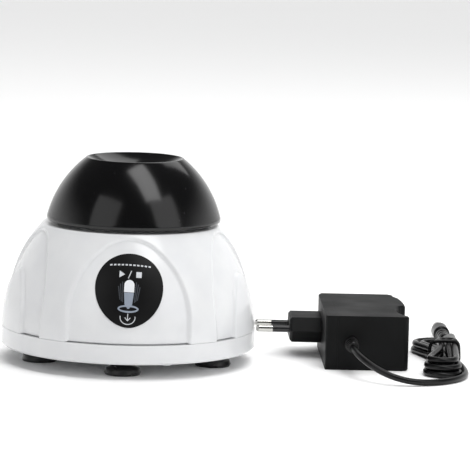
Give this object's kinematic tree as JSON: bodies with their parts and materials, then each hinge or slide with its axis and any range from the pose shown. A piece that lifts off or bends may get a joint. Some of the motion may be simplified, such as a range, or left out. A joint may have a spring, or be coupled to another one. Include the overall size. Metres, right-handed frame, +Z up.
{
  "type": "vortex mixer",
  "caption": "Domed vortex mixer with a rubber cup head that is pressed to start, suction feet, and a plug-in power adapter with its cord tied in a hank.",
  "frame": {"origin": "on the table under the middle of the mixer's base; the adapter lies beside it on the table", "axes": "+Z up through the mixer's axis, -Y towards the front with the label, +Y out of the power jack, +X towards the adapter"},
  "size_m": [0.2563, 0.1712, 0.112],
  "materials": {
    "white_shell": "gloss",
    "label_film": "gloss",
    "head_rubber": "satin",
    "foot_rubber": "satin",
    "steel": "brushed",
    "zinc": "plated",
    "bright_nickel": "polished",
    "brass": "satin",
    "magnet": "matte",
    "insert_plastic": "matte",
    "nylon": "matte",
    "board": "satin",
    "black_plastic": "matte",
    "gloss_black": "gloss",
    "clear_plastic": "gloss",
    "cord_jacket": "satin",
    "wire": "satin",
    "capacitor_sleeve": "gloss"
  },
  "bodies": {
    "base": {"base_tray": "white_shell", "dome_shell": "white_shell", "label": "label_film", "foot_1": "foot_rubber", "foot_2": "foot_rubber", "foot_3": "foot_rubber", "foot_4": "foot_rubber", "foot_5": "foot_rubber", "foot_screws": "zinc", "tray_screws": "zinc", "guide_posts": "steel", "post_stops": "zinc", "return_springs": "steel", "motor_leads": "wire", "switch_board": "board", "switch_body": "black_plastic", "control_board": "board", "capacitors": "capacitor_sleeve", "regulator": "black_plastic", "jack_body": "black_plastic", "jack_pin": "bright_nickel", "jack_nut": "bright_nickel", "jack_leads": "wire"},
    "carriage": {"motor_plate": "zinc", "post_bushes": "nylon", "orbit_grommets": "foot_rubber", "motor_can": "steel", "motor_end_cap": "black_plastic", "motor_magnets": "magnet", "motor_terminals": "brass", "motor_screws": "zinc", "actuator": "nylon"},
    "switch_button": {"switch_plunger": "nylon"},
    "rotor": {"motor_shaft": "steel", "armature": "steel", "eccentric_hub": "brass", "eccentric_pin": "steel", "counterweight": "brass", "bearing_inner_ring": "bright_nickel", "pin_screw": "zinc"},
    "head": {"bearing_outer_ring": "bright_nickel", "bearing_balls": "bright_nickel", "head_core": "insert_plastic", "orbit_dowels": "steel", "mixing_head": "head_rubber"},
    "adapter": {"adapter_rear_shell": "black_plastic", "adapter_front_shell": "black_plastic", "plug_pins": "bright_nickel", "plug_sleeves": "gloss_black", "adapter_board": "board", "adapter_parts": "magnet", "adapter_led": "clear_plastic", "strain_relief": "cord_jacket", "cord_loop": "cord_jacket", "cord_hank": "cord_jacket", "cord_tail": "cord_jacket", "cord_tie": "cord_jacket", "dc_plug_grip": "cord_jacket", "dc_plug_barrel": "bright_nickel", "dc_plug_insulator": "black_plastic"}
  },
  "joints": [
    {"name": "head_press", "type": "slide", "parent": "base", "child": "carriage", "axis": [0, 0, -1], "range_m": [0, 0.0015], "stiffness_N_per_m": 3000, "springref_m": -0.003, "deforming": ["return_springs", "motor_leads"]},
    {"name": "switch_press", "type": "slide", "parent": "base", "child": "switch_button", "axis": [0, 0, -1], "range_m": [0, 0.0015]},
    {"name": "shaft_spin", "type": "hinge", "parent": "carriage", "child": "rotor", "pos_m": [0, 0, 0.07], "axis": [0, 0, 1], "continuous": true},
    {"name": "head_orbit", "type": "hinge", "parent": "rotor", "child": "head", "pos_m": [0.00175, 0, 0.0835], "axis": [0, 0, 1], "continuous": true},
    {"name": "adapter_slide", "type": "slide", "parent": "base", "child": "adapter", "axis": [1, 0, 0], "range_m": [0, 0.1]}
  ],
  "couplings": [
    {"joint": "head_orbit", "follows": "shaft_spin", "ratio": -1},
    {"joint": "switch_press", "follows": "head_press", "ratio": 1}
  ]
}
